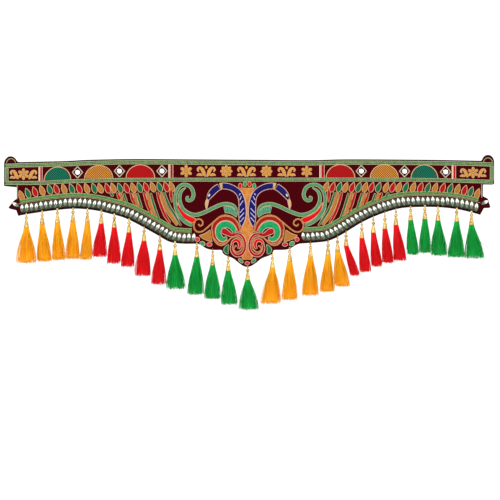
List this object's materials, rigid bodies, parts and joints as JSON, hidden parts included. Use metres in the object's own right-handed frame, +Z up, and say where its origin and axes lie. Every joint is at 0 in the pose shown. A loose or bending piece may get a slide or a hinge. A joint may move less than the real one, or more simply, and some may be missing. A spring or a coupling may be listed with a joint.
{
  "type": "toran door hanging",
  "caption": "Stiffened velvet door hanging with a scalloped hem, green braid, brocade domes, small mirrors, a stone trim, a bird and scroll ornament, and a row of thread tassels.",
  "frame": {"origin": "on the flat back of the board, at the middle of its top edge", "axes": "+X to the right as seen from the front, along the top edge; +Y out of the flat back, towards the wall or door frame; +Z up. The front faces -Y."},
  "size_m": [0.9796, 0.017, 0.3089],
  "materials": {
    "maroon_velvet": "short-pile velvet over a stiffened board, near-black at its turned edge",
    "green_braid": "woven green braid with pale gold edges",
    "red_satin": "smooth satin",
    "gold_satin": "smooth satin with a metallic weft",
    "blue_satin": "smooth satin",
    "green_satin": "smooth satin",
    "green_brocade": "brocade with a fine metallic lattice",
    "gold_brocade": "brocade with a fine metallic lattice",
    "red_brocade": "brocade with a fine metallic lattice",
    "gold_cord": "twisted metallic cord, laid down and couched",
    "mirror_work": "small silvered mirror in a pale metallic cord",
    "stone_trim": "faceted clear stones on silver foil, set in a sewn strip",
    "gilt_metal": "bright gilt bead caps and beads",
    "yellow_thread": "glossy rayon thread, cut at the foot",
    "red_thread": "glossy rayon thread, cut at the foot",
    "green_thread": "glossy rayon thread, cut at the foot"
  },
  "bodies": {
    "root": {"board": "maroon_velvet", "braid_top": "green_braid", "braid_middle": "green_braid", "braid_end_left": "green_braid", "braid_end_right": "green_braid", "braid_hem_left": "green_braid", "braid_hem_right": "green_braid", "divider_1": "red_satin", "divider_2": "red_satin", "divider_3": "red_satin", "divider_4": "red_satin", "dome_1": "green_brocade", "dome_2": "gold_brocade", "dome_3": "red_brocade", "dome_4": "red_brocade", "dome_5": "gold_brocade", "dome_6": "green_brocade", "mirror_1": "mirror_work", "mirror_2": "mirror_work", "mirror_3": "mirror_work", "mirror_4": "mirror_work", "mirror_5": "mirror_work", "mirror_6": "mirror_work", "stones_left": "stone_trim", "stones_right": "stone_trim", "finial": "gold_satin", "bird_left": "blue_satin", "bird_right": "blue_satin", "scroll_left": "red_satin", "scroll_right": "red_satin", "tassel_01": "yellow_thread", "tassel_02": "yellow_thread", "tassel_03": "yellow_thread", "tassel_04": "yellow_thread", "tassel_05": "yellow_thread", "tassel_06": "red_thread", "tassel_07": "red_thread", "tassel_08": "red_thread", "tassel_09": "red_thread", "tassel_10": "red_thread", "tassel_11": "green_thread", "tassel_12": "green_thread", "tassel_13": "green_thread", "tassel_14": "green_thread", "tassel_15": "green_thread", "tassel_16": "yellow_thread", "tassel_17": "yellow_thread", "tassel_18": "yellow_thread", "tassel_19": "yellow_thread", "tassel_20": "yellow_thread", "tassel_21": "red_thread", "tassel_22": "red_thread", "tassel_23": "red_thread", "tassel_24": "red_thread", "tassel_25": "red_thread", "tassel_26": "green_thread", "tassel_27": "green_thread", "tassel_28": "green_thread", "tassel_29": "green_thread", "tassel_30": "green_thread"}
  },
  "joints": []
}
